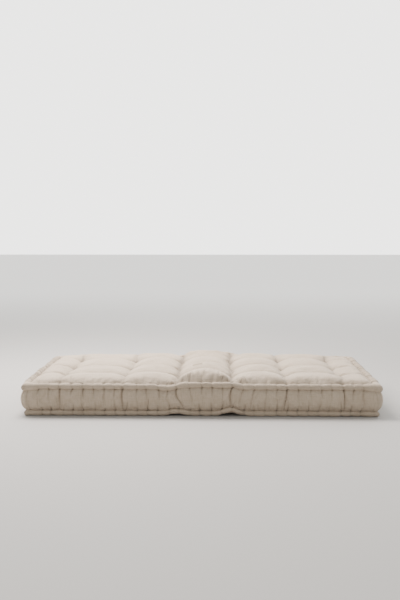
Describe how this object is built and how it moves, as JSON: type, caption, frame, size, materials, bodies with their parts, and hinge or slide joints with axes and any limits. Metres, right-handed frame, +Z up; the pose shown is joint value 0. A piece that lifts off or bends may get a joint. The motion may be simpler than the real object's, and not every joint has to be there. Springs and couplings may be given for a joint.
{
  "type": "futon mattress",
  "caption": "Tufted futon mattress with puffed pillows between thread tufts, gathered borders and hand-stitched rolled edges, in natural linen.",
  "frame": {"origin": "middle of the resting face, on the surface that the mattress lies on", "axes": "+X along the length, to the right when seen from the front; +Y from the front to the back; +Z up"},
  "size_m": [1.905, 0.991, 0.243],
  "materials": {
    "linen_cover": "washed natural linen, unbleached, slubby plain weave",
    "felt": "needled wool felt",
    "cotton_batting": "carded cotton batting",
    "wool": "teased wool",
    "waxed_twine": "waxed linen twine"
  },
  "bodies": {
    "root": {"back_border": "linen_cover", "back_bottom_roll": "linen_cover", "back_bottom_roll_wad": "felt", "back_bottom_stitches": "waxed_twine", "back_top_roll": "linen_cover", "back_top_roll_wad": "felt", "back_top_stitches": "waxed_twine", "base_felt": "felt", "base_tuft_knots": "waxed_twine", "bottom_panel": "linen_cover", "cotton_batt_1": "cotton_batting", "cotton_batt_2": "cotton_batting", "cotton_batt_3": "cotton_batting", "front_border": "linen_cover", "front_bottom_roll": "linen_cover", "front_bottom_roll_wad": "felt", "front_bottom_stitches": "waxed_twine", "front_top_roll": "linen_cover", "front_top_roll_wad": "felt", "front_top_stitches": "waxed_twine", "left_border": "linen_cover", "left_bottom_roll": "linen_cover", "left_bottom_roll_wad": "felt", "left_bottom_stitches": "waxed_twine", "left_top_roll": "linen_cover", "left_top_roll_wad": "felt", "left_top_stitches": "waxed_twine", "right_border": "linen_cover", "right_bottom_roll": "linen_cover", "right_bottom_roll_wad": "felt", "right_bottom_stitches": "waxed_twine", "right_top_roll": "linen_cover", "right_top_roll_wad": "felt", "right_top_stitches": "waxed_twine", "sewn_patch": "linen_cover", "top_panel": "linen_cover", "top_tuft_knots": "waxed_twine", "top_wool": "wool", "tuft_twine_row1_column1": "waxed_twine", "tuft_twine_row1_column2": "waxed_twine", "tuft_twine_row1_column3": "waxed_twine", "tuft_twine_row1_column4": "waxed_twine", "tuft_twine_row1_column5": "waxed_twine", "tuft_twine_row1_column6": "waxed_twine", "tuft_twine_row2_column1": "waxed_twine", "tuft_twine_row2_column2": "waxed_twine", "tuft_twine_row2_column3": "waxed_twine", "tuft_twine_row2_column4": "waxed_twine", "tuft_twine_row2_column5": "waxed_twine", "tuft_twine_row2_column6": "waxed_twine", "tuft_twine_row3_column1": "waxed_twine", "tuft_twine_row3_column2": "waxed_twine", "tuft_twine_row3_column3": "waxed_twine", "tuft_twine_row3_column4": "waxed_twine", "tuft_twine_row3_column5": "waxed_twine", "tuft_twine_row3_column6": "waxed_twine"}
  },
  "joints": []
}
